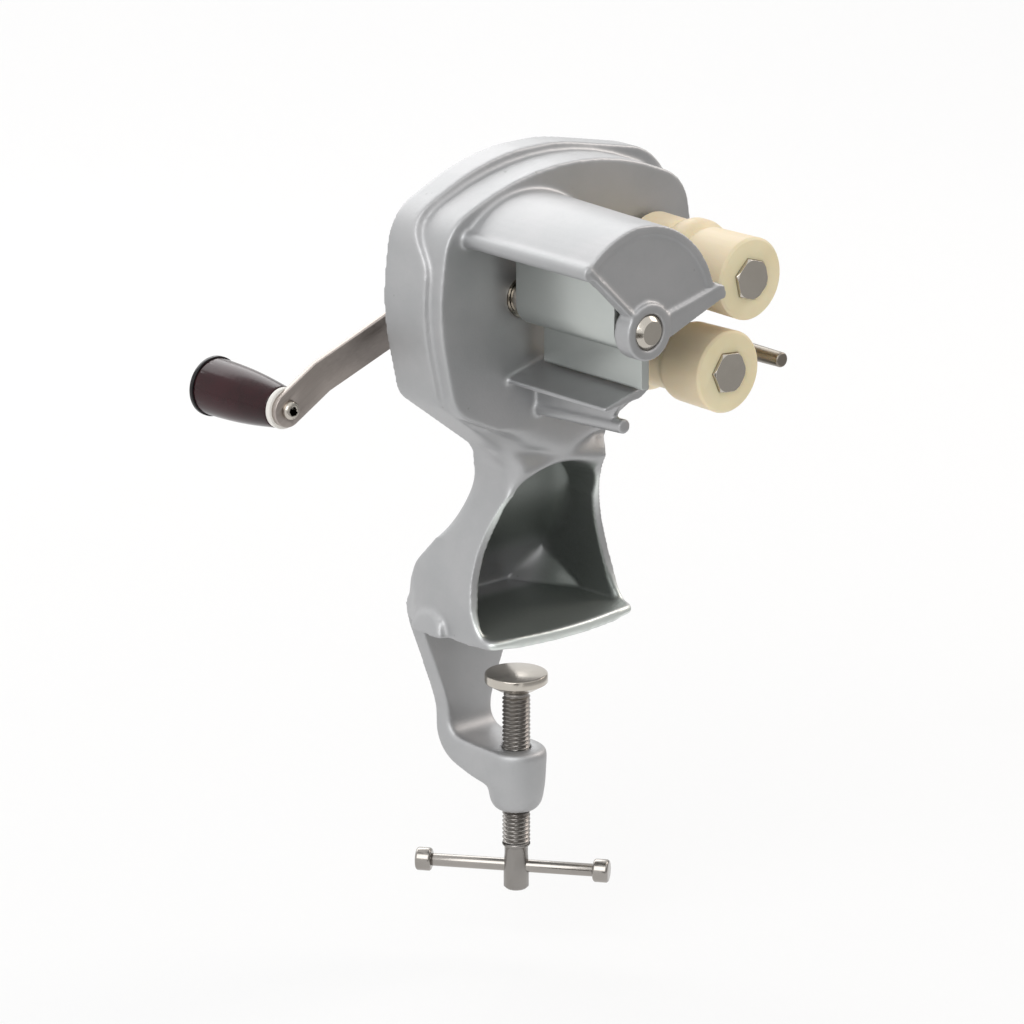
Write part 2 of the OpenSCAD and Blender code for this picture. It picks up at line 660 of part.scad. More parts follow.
// Involute gears
pressure = 20;
function inv(a) = tan(a) * 180 / PI - a;
function half_tooth(teeth, r) =
    let(pr = gear_m * teeth / 2, br = pr * cos(pressure))
    90 / teeth - backlash / 4 / pr * 180 / PI + inv(pressure) - inv(acos(min(br / r, 1)));
function flank_radii(teeth) =
    let(pr = gear_m * teeth / 2, br = pr * cos(pressure), root = pr - 1.25 * gear_m, tip = pr + 0.95 * gear_m,
        low = max(br, root))
    [for (i = [0:4]) low + (tip - low) * i / 4];
module gear_outline(teeth) {
    root = gear_m * (teeth / 2 - 1.25);
    radii = flank_radii(teeth);
    polygon([for (t = [0:teeth - 1])
        let(mid = 360 * t / teeth, foot = half_tooth(teeth, radii[0]))
        each concat([turned([root, 0], mid - foot)],
            [for (r = radii) turned([r, 0], mid - half_tooth(teeth, r))],
            [for (i = [4:-1:0]) turned([radii[i], 0], mid + half_tooth(teeth, radii[i]))],
            [turned([root, 0], mid + foot)])]);
}
// A spur gear in the gear plane, turned so that a tooth points along the angle tooth_at
module gear(at, teeth, bore, tooth_at, hub) {
    difference() {
        union() {
            translate([at[0], gear_back_y, at[1]]) rotate([90, 0, 0]) linear_extrude(gear_w)
                rotate(tooth_at) gear_outline(teeth);
            bar_y(at, gear_back_y + hub, gear_back_y, bore + hub_wall);
        }
        bar_y(at, gear_back_y + hub + over, gear_front_y - over, bore);
    }
}
function heading(from, to) = atan2(to[1] - from[1], to[0] - from[0]);
// A gap of one gear faces a tooth of the next along the line between their axes
pinion_tooth = heading(cutter_at, idler_at);
idler_tooth = heading(idler_at, cutter_at) + 180 / idler_teeth;
function mesh_tooth(from, from_tooth, from_teeth, to, to_teeth) =
    let(line = heading(from, to), off = (line - from_tooth) * from_teeth / to_teeth)
    line + 180 + off + 180 / to_teeth;
upper_tooth = mesh_tooth(idler_at, idler_tooth, idler_teeth, upper_at, roller_teeth);
lower_tooth = mesh_tooth(upper_at, upper_tooth, roller_teeth, lower_at, roller_teeth);
gear_hub = 2;
hub_wall = 2.6;

module cutter_pinion() {
    color("goldenrod") gear(cutter_at, pinion_teeth, spindle_d / 2, pinion_tooth, 0);
}
module idler_gear() {
    color("goldenrod") gear(idler_at, idler_teeth, idler_pin_d / 2 + run_gap, idler_tooth, gear_hub);
}
module upper_gear() {
    color("goldenrod") gear(upper_at, roller_teeth, journal_d / 2, upper_tooth, gear_hub);
}
module lower_gear() {
    color("goldenrod") gear(lower_at, roller_teeth, journal_d / 2, lower_tooth, gear_hub);
}
module idler_pin() {
    color("lightsteelblue") bar_y(idler_at, -cover_t / 2, inner_y - case_wall * 0.4, idler_pin_d / 2);
}

// Roller shafts: a hexagon in front of the case, a collar against the bush, a round journal inside
hex_out = 1.2;
hex_break = 0.8;
collar_t = roller_back - 2 * face_gap;
module roller_shaft(at, hex_turn) {
    hex_r = hex_af / 2 / cos(30);
    hex_front = face_y - roller_back - roller_len - hex_out;
    collar_y = face_y - face_gap;
    bar_y(at, -cover_t / 2 - face_gap, collar_y, journal_d / 2);
    bar_y(at, collar_y, collar_y - collar_t, hex_r + over);
    intersection() {
        translate([at[0], collar_y - collar_t, at[1]]) rotate([90, 0, 0])
            rotate(hex_turn) cylinder(h = collar_y - collar_t - hex_front, r = hex_r, $fn = 6);
        turned_y(at, collar_y - collar_t)
            polygon([[0, 0], [hex_r + over, 0],
                [hex_r + over, collar_y - collar_t - hex_front - hex_break - over],
                [hex_r - hex_break, collar_y - collar_t - hex_front],
                [0, collar_y - collar_t - hex_front]]);
    }
}
upper_hex = -16.5;
lower_hex = -5;
module upper_shaft() {
    color("lightsteelblue") roller_shaft(upper_at, upper_hex);
}
module lower_shaft() {
    color("lightsteelblue") roller_shaft(lower_at, lower_hex);
}

// Rollers: turned barrels with a hexagonal bore. The upper has a ring, the lower a waist.
hex_play = 0.15;
edge_break = 0.8;
cove_r_share = 0.93;
module roller(at, hex_turn, middle) {
    back = face_y - roller_back;
    difference() {
        turned_y(at, back)
            polygon(concat([[0, 0], [roller_r - edge_break, 0], [roller_r, edge_break]], middle,
                [[roller_r, roller_len - edge_break], [roller_r - edge_break, roller_len], [0, roller_len]]));
        translate([at[0], back + over, at[1]]) rotate([90, 0, 0]) rotate(hex_turn)
            cylinder(h = roller_len + 2 * over, r = (hex_af / 2 + hex_play) / cos(30), $fn = 6);
    }
}
ring_mid = roller_len * 0.43;
module upper_roller() {
    cove = roller_r * cove_r_share;
    mid_r = roller_r * 0.975;
    color("cornsilk")
    roller(upper_at, upper_hex,
        [[mid_r, ring_mid - ring_w * 0.86], [cove, ring_mid - ring_w * 0.74], [cove, ring_mid - ring_w * 0.62],
        [ring_r - over * 0.6, ring_mid - ring_w * 0.42], [ring_r, ring_mid - ring_w * 0.2],
        [ring_r, ring_mid + ring_w * 0.2], [ring_r - over * 0.6, ring_mid + ring_w * 0.42],
        [cove, ring_mid + ring_w * 0.62], [cove, ring_mid + ring_w * 0.74], [mid_r, ring_mid + ring_w * 0.86]]);
}
module lower_roller() {
    mid_r = roller_r * 0.975;
    drop = mid_r - waist_r;
    color("cornsilk")
    roller(lower_at, lower_hex,
        concat([for (t = [0:0.125:1])
                [mid_r - drop * (1 - cos(180 * t)) / 2, ring_mid - waist_w * (1 - t * 0.6)]],
            [for (t = [1:-0.125:0])
                [mid_r - drop * (1 - cos(180 * t)) / 2, ring_mid + waist_w * (1 - t * 0.6)]]));
}

// Cutter: two blades that leave the hub on opposite sides
cutter_y = face_y - cutter_back;
module cutter() {
    tip = sqrt(blade_r * blade_r - hub_r * hub_r);
    color("darkgray")
    difference() {
        translate([cutter_at[0], cutter_y, cutter_at[1]]) rotate([90, 0, 0]) linear_extrude(cutter_len) {
            circle(r = hub_r);
            for (a = [0, 180]) rotate(a)
                polygon(rounded([[-hub_r, 0, 0], [-hub_r + blade_t, 0, 0],
                    [-hub_r + blade_t, tip, blade_t * 0.3], [-hub_r, tip, blade_t * 0.3]], 4));
        }
        bar_y(cutter_at, cutter_y + over, cutter_y - cutter_len - over, spindle_d / 2);
    }
}
// Collar that keeps the cutter off the case
module cutter_spacer() {
    color("khaki")
    difference() {
        bar_y(cutter_at, face_y - face_gap, cutter_y, nose_d / 2);
        bar_y(cutter_at, face_y + over, cutter_y - over, spindle_d / 2);
    }
}

// Shaft of the cutter, driven by the crank at its squared back end
arm_front_y = cover_boss_out + 2 * face_gap;
square_af = spindle_d * 0.7;
stud_d = 6;
nut_t = 5;
nose_break = 2;
nose_out = 1.1;
module cutter_shaft() {
    nose_y = cutter_y - cutter_len;
    end_y = hood_end_y - hood_boss_out - nose_out;
    color("lightsteelblue") {
        bar_y(cutter_at, arm_front_y, nose_y - over, spindle_d / 2);
        turned_y(cutter_at, nose_y)
            polygon([[0, 0], [nose_d / 2, 0], [nose_d / 2, nose_y - end_y - nose_break],
                [nose_d / 2 - nose_break, nose_y - end_y], [0, nose_y - end_y]]);
        translate([cutter_at[0], arm_front_y, cutter_at[1]]) rotate([0, -crank_angle, 0])
            cube([square_af, 2 * arm_t, square_af], center = true);
        bar_y(cutter_at, arm_front_y + arm_t + nut_t + over, arm_front_y, stud_d / 2);
    }
}

// Crank arm: a flat bar with two bends, which steps it clear of the clamp and the pedestal
arm_far_share = 0.77;
arm_near_share = 0.14;
module crank_arm() {
    far = crank_r * arm_far_share;
    near = crank_r * arm_near_share;
    low = arm_front_y;
    high = arm_front_y + arm_offset;
    color("rosybrown")
    translate([cutter_at[0], 0, cutter_at[1]]) rotate([0, -crank_angle, 0])
    difference() {
        intersection() {
            translate([0, 0, -arm_w]) linear_extrude(2 * arm_w)
                polygon([[-arm_w, low], [near, low], [far, high], [crank_r + arm_w, high],
                    [crank_r + arm_w, high + arm_t], [far, high + arm_t], [near, low + arm_t],
                    [-arm_w, low + arm_t]]);
            front_slab(high + arm_t + over, low - over) {
                translate([0, -arm_w / 2]) square([crank_r, arm_w]);
                circle(r = arm_w * 0.62);
                translate([crank_r, 0]) circle(r = arm_w / 2);
            }
        }
        translate([0, low + arm_t / 2, 0]) cube([square_af, arm_t + 2 * over, square_af], center = true);
        bar_y([crank_r, 0], high + arm_t + over, high - over, grip_bolt_d / 2);
    }
}
module crank_nut() {
    color("silver")
    difference() {
        translate([cutter_at[0], arm_front_y + arm_t + nut_t, cutter_at[1]]) rotate([90, 0, 0])
            cylinder(h = nut_t, r = stud_d * 0.96, $fn = 6);
        bar_y(cutter_at, arm_front_y + arm_t + nut_t + over, arm_front_y + arm_t - over, stud_d / 2);
    }
}

// Grip, which turns on its bolt
grip_at = cutter_at + crank_r * [cos(crank_angle), sin(crank_angle)];
grip_arm_y = arm_front_y + arm_offset;
washer_y = grip_arm_y + arm_t;
grip_y = washer_y + washer_t + face_gap;
grip_end_y = grip_y + grip_len;
cap_len = 5;
grip_nut_h = 3;
bolt_head_r = grip_bolt_d * 0.64;
bolt_head_h = grip_bolt_d * 0.44;
module grip_bolt() {
    recess_y = grip_end_y - grip_nut_h;
    color("silver") {
        difference() {
            union() {
                bar_y(grip_at, recess_y + grip_nut_h, grip_arm_y, grip_bolt_d / 2);
                turned_y(grip_at, grip_arm_y)
                    polygon(concat([[0, 0], [bolt_head_r, 0]],
                        arc([bolt_head_r - bolt_head_h * 0.6, bolt_head_h * 0.4], bolt_head_h * 0.6, 0, 90, 5),
                        [[0, bolt_head_h]]));
            }
            translate([grip_at[0], grip_arm_y - bolt_head_h * 0.3, grip_at[1]]) rotate([90, 0, 0])
                cylinder(h = bolt_head_h, r = bolt_head_r * 0.5, $fn = 6);
        }
        translate([grip_at[0], recess_y + grip_nut_h, grip_at[1]]) rotate([90, 0, 0])
            cylinder(h = grip_nut_h - face_gap, r = grip_bolt_d * 0.92, $fn = 6);
    }
}
module grip_washer() {
    color("white")
    difference() {
        bar_y(grip_at, washer_y + washer_t, washer_y, grip_small_d / 2);
        bar_y(grip_at, washer_y + washer_t + over, washer_y - over, grip_bolt_d / 2);
    }
}
// Radius of the grip at share t of its length, with a slight swell
function grip_radius(t) =
    (grip_small_d + (grip_large_d - grip_small_d) * t) / 2 + sin(180 * t) * grip_small_d * 0.05;
module grip() {
    // The nut turns in a round recess at the large end
    nut_r = grip_bolt_d * 0.92 + face_gap;
    color([0.18, 0.07, 0.08])
    translate([grip_at[0], grip_y, grip_at[1]]) rotate([-90, 0, 0]) rotate_extrude()
        polygon(concat([for (i = [0:12]) [grip_radius(i / 12), grip_len * i / 12]],
            [[nut_r, grip_len], [nut_r, grip_len - grip_nut_h - face_gap],
            [grip_bolt_d / 2 + run_gap, grip_len - grip_nut_h - face_gap], [grip_bolt_d / 2 + run_gap, 0]]));
}
module grip_cap() {
    lip_r = grip_large_d / 2 + 0.5 * over;
    nut_r = grip_bolt_d * 0.92 + face_gap;
    color([0.06, 0.05, 0.06])
    translate([grip_at[0], grip_end_y, grip_at[1]]) rotate([-90, 0, 0]) rotate_extrude()
        polygon(concat([[0, face_gap], [nut_r, face_gap], [nut_r, 0], [lip_r, 0], [lip_r, cap_len * 0.3]],
            [for (a = [0:15:90]) [lip_r * (0.93 * cos(a)), cap_len * (0.3 + 0.7 * sin(a))]]));
}

// Clamp screw, its pad and its bar
pad_top = -table_t;
pin_r = screw_d * 0.31;
pin_len = pad_t * 0.6;
plain_d = screw_d * 0.9;
bar_up = 8.2;
screw_end = pad_top - screw_len;
bar_z = screw_end + bar_up;
bar_dir = [cos(bar_angle), sin(bar_angle), 0];
module swivel_pad() {
    color("darkgray")
    difference() {
        translate([0, 0, pad_top - pad_t]) rotate_extrude()
            polygon([[0, 0], [pad_d * 0.3, 0], [pad_d / 2, pad_t * 0.45], [pad_d / 2, pad_t * 0.92],
                [pad_d / 2 - pad_t * 0.08, pad_t], [0, pad_t]]);
        translate([0, 0, pad_top - pad_t - over]) cylinder(h = pin_len + over + face_gap, r = pin_r + run_gap);
    }
}
module clamp_screw() {
    shoulder = pad_top - pad_t - face_gap;
    plain_top = screw_end + screw_len * 0.205;
    color("dimgray")
    difference() {
        rotate_extrude()
            polygon([[0, pad_top - pad_t + pin_len], [pin_r, pad_top - pad_t + pin_len], [pin_r, shoulder],
                [screw_d / 2 - over, shoulder], [screw_d / 2, shoulder - over], [screw_d / 2, plain_top],
                [plain_d / 2 * 0.93, plain_top - over], [plain_d / 2 * 0.93, bar_z + bar_d],
                [plain_d / 2, bar_z],
                [plain_d / 2, screw_end + over * 0.8], [plain_d / 2 - over * 0.8, screw_end], [0, screw_end]]);
        translate([0, 0, bar_z]) rotate([0, 90, bar_angle])
            cylinder(h = 2 * screw_d, r = bar_d / 2 + run_gap, center = true);
    }
}
module tommy_bar() {
    color("gainsboro")
    translate([0, 0, bar_z] - bar_slid * bar_dir) rotate([0, 90, bar_angle])
        cylinder(h = bar_len - 2 * knob_len, r = bar_d / 2, center = true);
}
module bar_knobs() {
    edge = knob_d * 0.07;
    color("gainsboro")
    for (end = [0, 180])
        translate([0, 0, bar_z] - bar_slid * bar_dir) rotate([0, 90, bar_angle + end])
            translate([0, 0, bar_len / 2 - knob_len]) rotate_extrude()
                polygon([[0, 0], [knob_d / 2 - edge, 0], [knob_d / 2, edge], [knob_d / 2, knob_len - edge],
                    [knob_d / 2 - edge, knob_len], [0, knob_len]]);
}

body_casting();
rear_cover();
cover_screws();
cutter_bush();
upper_bush();
lower_bush();
cover_bushes();
guide_rod();
idler_pin();
idler_gear();
cutter_shaft();
cutter();
cutter_spacer();
cutter_pinion();
crank_arm();
crank_nut();
grip_bolt();
grip_washer();
grip();
grip_cap();
upper_shaft();
upper_gear();
upper_roller();
lower_shaft();
lower_gear();
lower_roller();
clamp_screw();
swivel_pad();
tommy_bar();
bar_knobs();
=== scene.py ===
"""Hand cranked cavatelli maker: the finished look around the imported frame. Metres, Z up, front towards -Y."""

import bmesh
import bpy
import numpy as np
from mathutils import Matrix, Vector


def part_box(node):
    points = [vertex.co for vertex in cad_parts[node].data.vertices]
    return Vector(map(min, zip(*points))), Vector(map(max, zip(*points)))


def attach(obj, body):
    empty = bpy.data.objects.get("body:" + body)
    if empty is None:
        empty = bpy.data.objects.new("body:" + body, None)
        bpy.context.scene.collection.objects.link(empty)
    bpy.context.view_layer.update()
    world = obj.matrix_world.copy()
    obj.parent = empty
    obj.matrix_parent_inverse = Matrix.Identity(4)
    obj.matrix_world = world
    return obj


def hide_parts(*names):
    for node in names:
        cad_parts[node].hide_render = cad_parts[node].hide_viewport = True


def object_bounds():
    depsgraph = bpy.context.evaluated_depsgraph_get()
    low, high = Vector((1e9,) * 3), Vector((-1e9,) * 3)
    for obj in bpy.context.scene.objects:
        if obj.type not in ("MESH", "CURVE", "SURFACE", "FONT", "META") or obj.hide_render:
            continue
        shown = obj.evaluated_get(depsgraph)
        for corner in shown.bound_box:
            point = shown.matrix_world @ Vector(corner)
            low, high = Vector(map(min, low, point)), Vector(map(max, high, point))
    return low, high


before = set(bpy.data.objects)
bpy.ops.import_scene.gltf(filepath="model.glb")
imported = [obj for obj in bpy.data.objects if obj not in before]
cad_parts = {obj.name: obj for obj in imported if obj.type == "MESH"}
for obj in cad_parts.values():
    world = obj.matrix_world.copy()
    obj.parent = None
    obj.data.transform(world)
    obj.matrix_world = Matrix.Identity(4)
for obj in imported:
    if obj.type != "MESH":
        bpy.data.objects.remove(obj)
cad_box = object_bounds()
mm = 0.001

# The body: gear case, pedestal, clamp and hood in one piece of aluminium, gravity cast and tumbled
# until every edge is round. The gates are ground off and the metal is left bare, so it is satin,
# a little uneven in gloss, with fine pits. The faint line of the mould's two halves is left out.


class Value:
    """A number, colour or vector in a material's nodes; sums of them add the nodes they need."""

    def __init__(self, finish, socket):
        self.finish, self.socket = finish, socket

    def _maths(self, kind, *terms):
        return self.finish.add("ShaderNodeMath", {"operation": kind}, dict(enumerate(terms)))["Value"]

    def __add__(self, other):
        return self._maths("ADD", self, other)

    def __sub__(self, other):
        return self._maths("SUBTRACT", self, other)

    def __rsub__(self, other):
        return self._maths("SUBTRACT", other, self)

    def __mul__(self, other):
        return self._maths("MULTIPLY", self, other)

    __radd__ = __add__

    def between(self, low, high):
        """0 below low, 1 above high and smooth between them."""
        return self.finish.add(
            "ShaderNodeMapRange",
            {"interpolation_type": "SMOOTHSTEP", "clamp": True},
            {"Value": self, "From Min": low, "From Max": high},
        )["Result"]


class Finish:
    """A material, with its nodes worked out in the object's own coordinates."""

    def __init__(self, name):
        self.material = bpy.data.materials.new(name)
        self.material.use_nodes = True
        self.tree = self.material.node_tree
        self.tree.nodes.clear()
        self.place = self.add("ShaderNodeTexCoord")["Object"]

    def add(self, kind, settings=(), inputs=()):
        """A node of that kind. Its outputs come back by name, as values."""
        node = self.tree.nodes.new(kind)
        for name, value in dict(settings).items():
            setattr(node, name, value)
        for name, value in dict(inputs).items():
            socket = node.inputs[name]
            if isinstance(value, Value):
                self.tree.links.new(value.socket, socket)
            elif hasattr(value, "__len__") and len(value) == 3 and socket.type == "RGBA":
                socket.default_value = (*value, 1)
            else:
                socket.default_value = value
        return {out.name: Value(self, out) for out in node.outputs if out.enabled}

    def noise(self, scale, detail, roughness=0.5, stretch=None, turn=(0, 0, 0)):
        """Cloudy noise from 0 to 1, with scale spots to the metre, drawn out where stretch is small."""
        place = self.place
        if stretch:
            place = self.add("ShaderNodeMapping", {}, {"Vector": place, "Rotation": turn})["Vector"]
            place = self.add("ShaderNodeMapping", {}, {"Vector": place, "Scale": stretch})["Vector"]
        return self.add(
            "ShaderNodeTexNoise",
            {},
            {"Vector": place, "Scale": scale, "Detail": detail, "Roughness": roughness},
        )["Fac"]

    def mixed(self, share, first, second):
        """The colour that goes from the first to the second with share."""
        node = self.add("ShaderNodeMix", {"data_type": "RGBA"}, {0: share, 6: first, 7: second})
        return node["Result"]

    def bump(self, height, depth, below=None):
        """A normal raised by height, which goes from 0 to 1, over that depth in metres."""
        inputs = {"Height": height, "Distance": depth}
        if below:
            inputs["Normal"] = below
        return self.add("ShaderNodeBump", {}, inputs)["Normal"]

    def surface(self, **inputs):
        """Ends the material with these values, and gives it back."""
        names = {name.replace("_", " ").title().replace("Ior", "IOR"): v for name, v in inputs.items()}
        shader = self.add("ShaderNodeBsdfPrincipled", {}, names)["BSDF"]
        out = self.tree.nodes.new("ShaderNodeOutputMaterial")
        self.tree.links.new(shader.socket, out.inputs["Surface"])
        return self.material


def copy_of(node, name):
    """A loose copy of a CAD node, with its split corners joined, to be worked on."""
    piece = bpy.data.objects.new(name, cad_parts[node].data.copy())
    bpy.context.scene.collection.objects.link(piece)
    piece.data.materials.clear()
    work = bmesh.new()
    work.from_mesh(piece.data)
    bmesh.ops.remove_doubles(work, verts=work.verts, dist=0.002 * mm)
    work.to_mesh(piece.data)
    work.free()
    return piece


def settle(piece):
    """Applies the modifiers of a piece for good."""
    graph = bpy.context.evaluated_depsgraph_get()
    done = bpy.data.meshes.new_from_object(piece.evaluated_get(graph))
    piece.modifiers.clear()
    piece.data = done


def dress(piece, material, slot, body, *nodes, sharp=None):
    """Gives a new piece its finish, and puts it in place of its CAD nodes."""
    piece.data.materials.clear()
    piece.data.materials.append(material)
    piece.data.shade_smooth()
    if sharp:
        piece.data.set_sharp_from_angle(angle=sharp)
    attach(piece, body)
    if nodes:
        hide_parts(*nodes)


def cast_metal():
    finish = Finish("cast_aluminium")
    clouds = finish.noise(45, 4, 0.6)
    tumbled = finish.noise(900, 3, 0.6)
    grain = finish.noise(2600, 2, 0.5)
    pits = 1 - finish.noise(330, 1, 0.4).between(0.17, 0.22)
    rim = finish.add("ShaderNodeAttribute", {"attribute_name": "rim"})["Fac"]
    hollow = finish.add("ShaderNodeAttribute", {"attribute_name": "hollow"})["Fac"]
    colour = finish.mixed(clouds.between(0.3, 0.7), (0.43, 0.435, 0.44), (0.47, 0.47, 0.475))
    # Painted highlight: the rim of the pedestal's opening and the top of the forming board are mixed to a
    # lighter colour.
    colour = finish.mixed(rim, colour, (0.74, 0.78, 0.75))
    # Painted shade: the hollow behind the pedestal's opening is mixed to a darker colour.
    colour = finish.mixed(hollow, colour, (0.27, 0.29, 0.275))
    colour = finish.mixed(pits * 0.4, colour, (0.25, 0.25, 0.24))
    rough = 0.45 + clouds * 0.06 + tumbled * 0.08 - rim * 0.12
    normal = finish.bump(tumbled, 0.05 * mm)
    normal = finish.bump(grain, 0.02 * mm, normal)
    return finish.surface(base_color=colour, metallic=0.9, roughness=rough, normal=normal)


def rise(value, low, high):
    """0 at low, 1 at high and smooth between them, whichever of the two is larger."""
    share = np.clip((value - low) / (high - low), 0, 1)
    return share * share * (3 - 2 * share)


def axis_of(node):
    """Where the axis of a turned node that lies along Y crosses the XZ plane."""
    low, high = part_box(node)
    return (low.x + high.x) / 2, (low.z + high.z) / 2


def points_of(piece):
    """The points of a piece, one row each."""
    flat = np.empty(3 * len(piece.data.vertices))
    piece.data.vertices.foreach_get("co", flat)
    return flat.reshape(-1, 3)


def draw_in_hood(piece):
    """The mould's draft: the hood narrows towards its end, most on the side of the rollers."""
    hood_r, hood_length, inner_r = 36.3 * mm, 60.5 * mm, 10 * mm
    end_r, lean, lean_angle = 34.1 * mm, 3.5 * mm, np.radians(150)
    rib_deg, full_deg = 14, 22
    root_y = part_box("cutter_bush")[0].y
    cutter_x, cutter_z = axis_of("cutter_bush")
    at = points_of(piece)
    out = np.stack((at[:, 0] - cutter_x, at[:, 2] - cutter_z))
    reach = np.maximum(np.hypot(*out), 1e-6)
    angle = np.arctan2(out[1], out[0])
    draft = np.minimum(end_r + lean * np.cos(angle - lean_angle) - hood_r, 0)
    draft *= rise(np.degrees(angle), rib_deg, full_deg) * np.clip((root_y - at[:, 1]) / hood_length, 0, 1)
    draft *= np.clip((reach - inner_r) / (hood_r - inner_r), 0, 1)
    at[:, 0] += draft * out[0] / reach
    at[:, 2] += draft * out[1] / reach
    piece.data.vertices.foreach_set("co", at.ravel())


def raise_pads(piece):
    """The two low pads on the sides of the foot stand a little prouder, with a round outline."""
    proud, mid_y, half_length, height, inner_x = 1.2 * mm, 7.5 * mm, 10 * mm, 9.6 * mm, 27 * mm
    at = points_of(piece)
    reach = np.hypot((at[:, 1] - mid_y) / half_length, at[:, 2] / height)
    share = rise(reach, 1, 0.6) * rise(np.abs(at[:, 0]), inner_x, inner_x + 4 * mm)
    share *= at[:, 2] > -1 * mm
    at[:, 0] += np.sign(at[:, 0]) * proud * share
    piece.data.vertices.foreach_set("co", at.ravel())


def fill_neck(piece):
    """The neck is fuller at its sides, where it meets the slopes of the case."""
    swell, mid_z, half_height = 3.5 * mm, 68 * mm, 4 * mm
    at = points_of(piece)
    x, y, z = at.T / mm
    share = np.exp(-(((at[:, 2] - mid_z) / half_height) ** 2))
    share *= rise(np.abs(x), 7, 14) * rise(np.abs(x), 24, 18) * rise(y, -8, -14) * rise(y, -31, -28)
    at[:, 0] += np.sign(x) * swell * share
    piece.data.vertices.foreach_set("co", at.ravel())


def case_corners(x, y, z):
    """The case up to just before its rear edge, but not its bores, and the opening's front edge."""
    opening = rise(y, -24, -27) * rise(z, -1, 3) * rise(z, 58, 54)
    case = rise(z, 62, 68) * rise(y, -31, -27.5) * rise(y, -2.5, -6)
    for bush in ("cutter_bush", "upper_bush", "lower_bush"):
        bore_x, bore_z = axis_of(bush)
        case *= rise(np.hypot(x - bore_x / mm, z - bore_z / mm), 9, 13)
    return np.maximum(case, opening)


def broad_corners(x, y, z):
    """The back of the pedestal, the clamp and the front corners of the foot."""
    pedestal_back = rise(y, -9, -1) * rise(z, 9, 15) * rise(z, 62, 56)
    clamp = rise(z, -30, -42) * rise(np.hypot(x, y), 6.5, 9)
    foot_corner = rise(np.abs(x), 22, 28) * rise(y, -12, -18) * rise(z, 16, 10)
    return np.maximum.reduce((pedestal_back, clamp, foot_corner))


def blended_corners(x, y, z):
    """The neck, where the case flows into the pedestal, and the rear corners of the hollow."""
    neck = rise(z, 51, 57) * rise(z, 80, 71) * rise(y, -13, -19) * rise(x, 18, 11)
    hollow = rise(y, -5, 1) * rise(z, 5, 10) * rise(z, 60, 52) * rise(np.abs(x), 29, 26)
    return np.maximum(neck, hollow)


# The masks above and below give their limits in millimetres. A mask is cut into levels, because a
# vertex group is filled one level at a time.
mask_levels = 8
coarse = 1
body_voxel = 0.55 * coarse * mm
casting = copy_of("body_casting", "body_casting_round")
remesh = casting.modifiers.new("Remesh", "REMESH")
remesh.mode, remesh.voxel_size, remesh.adaptivity = "VOXEL", body_voxel, 0
settle(casting)
draw_in_hood(casting)
raise_pads(casting)
fill_neck(casting)
for shares_of, rounds in ((None, 6), (case_corners, 16), (broad_corners, 80), (blended_corners, 400)):
    smooth = casting.modifiers.new("Smooth", "SMOOTH")
    smooth.factor, smooth.iterations = 0.5, rounds // coarse**2
    if shares_of:
        group = casting.vertex_groups.new(name=shares_of.__name__)
        levels = np.round(shares_of(*points_of(casting).T / mm) * mask_levels).astype(int)
        for level in range(1, mask_levels + 1):
            group.add(np.flatnonzero(levels == level).tolist(), level / mask_levels, "REPLACE")
        smooth.vertex_group = group.name
settle(casting)
casting.vertex_groups.clear()
x, y, z = points_of(casting).T / mm
facing = np.empty(3 * len(x))
casting.data.vertices.foreach_get("normal", facing)
facing = facing.reshape(-1, 3).T
# Painted highlight and painted shade: the rim of the pedestal's opening is painted bright, and the hollow
# behind it dark.
# The top of the forming board is painted bright as well.
board_highlight_share = 0.6
hollow_y, hollow_z, hollow_reach, upward_share = -12, 26, 30, 0.6
# Painted highlight on the opening's rim where it faces the front, and on the upward facing top of the forming
# board.
rim = rise(y, -12, -17) * rise(z, -1, 1) * rise(z, 55, 48) * rise(facing[1], -0.3, -0.7)
board_top_highlight = rise(facing[2], 0.6, 0.9) * rise(y, -31, -34) * rise(z, 92, 88) * rise(z, 60, 64)
rim = np.maximum(rim, board_highlight_share * board_top_highlight)
# Painted shade in the hollow: surfaces that face inwards, behind the opening, take the darker colour.
inward = facing[0] * x + facing[1] * (y - hollow_y) + facing[2] * (z - hollow_z) * upward_share
inward = -inward / hollow_reach
hollow = rise(inward, 0, 0.3) * rise(y, -29.5, -25) * rise(y, 20, 12) * rise(z, 0.5, 3)
hollow *= rise(z, 60, 56) * rise(np.abs(x), 34, 31)
for name, share in (("rim", rim), ("hollow", hollow)):
    casting.data.attributes.new(name, "FLOAT", "POINT").data.foreach_set("value", share)
aluminium = cast_metal()
dress(casting, aluminium, "casting", "frame_body", "body_casting")


# Rear cover: a flat casting that closes the gear case, held by eight round head screws.
def paint(node, material):
    """A CAD node that is right as it is gets its finish."""
    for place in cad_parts[node].material_slots:
        place.material = material


flat_angle, edge_angle, sharp_angle = 0.01, 0.5, 0.6


def eased(node, width, material, slot, body):
    """A CAD node with its edges broken by a small chamfer, as a file or a tumbler leaves them."""
    piece = copy_of(node, node + "_eased")
    flat = piece.modifiers.new("Flat", "DECIMATE")
    flat.decimate_type, flat.angle_limit = "DISSOLVE", flat_angle
    bevel = piece.modifiers.new("Bevel", "BEVEL")
    bevel.width, bevel.segments, bevel.limit_method, bevel.angle_limit = width, 2, "ANGLE", edge_angle
    bevel.harden_normals = False
    settle(piece)
    dress(piece, material, slot, body, node, sharp=sharp_angle)


paint("rear_cover", aluminium)


def black_steel():
    finish = Finish("black_steel")
    oil = finish.noise(220, 3, 0.6)
    colour = finish.mixed(oil, (0.13, 0.125, 0.12), (0.24, 0.23, 0.225))
    return finish.surface(base_color=colour, metallic=1.0, roughness=0.3 + oil * 0.16)


dark_steel = black_steel()
paint("cover_screws", dark_steel)


